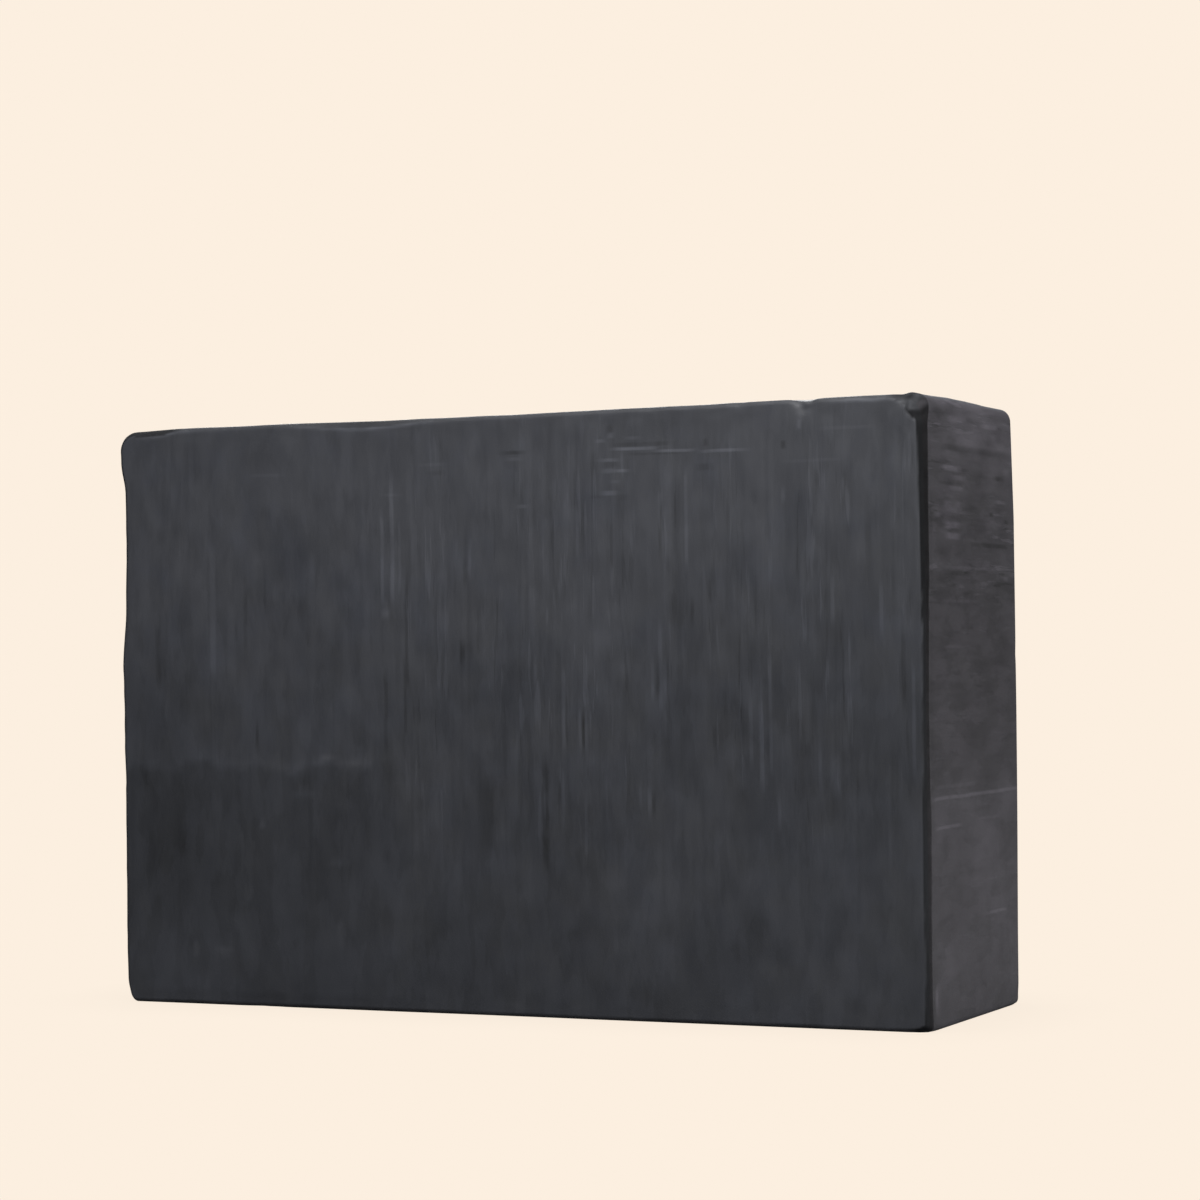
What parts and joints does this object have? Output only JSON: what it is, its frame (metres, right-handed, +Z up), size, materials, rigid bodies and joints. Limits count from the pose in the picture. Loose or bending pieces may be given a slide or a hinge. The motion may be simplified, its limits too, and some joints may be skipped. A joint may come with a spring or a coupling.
{
  "type": "compressed charcoal bar",
  "caption": "Thick rectangular bar of pressed charcoal for drawing, with a bevelled front face, a rounded back and matte drag-marked faces.",
  "frame": {"origin": "centre of the long narrow side that the bar stands on", "axes": "+X along the bar's length, -Y out of the bevelled broad front face, +Y out of the rounded back, +Z up"},
  "size_m": [0.084, 0.026, 0.056],
  "materials": {
    "pressed_charcoal": "matte, with fine drag marks and a faint sheen"
  },
  "bodies": {
    "root": {"charcoal_bar": "pressed_charcoal"}
  },
  "joints": []
}
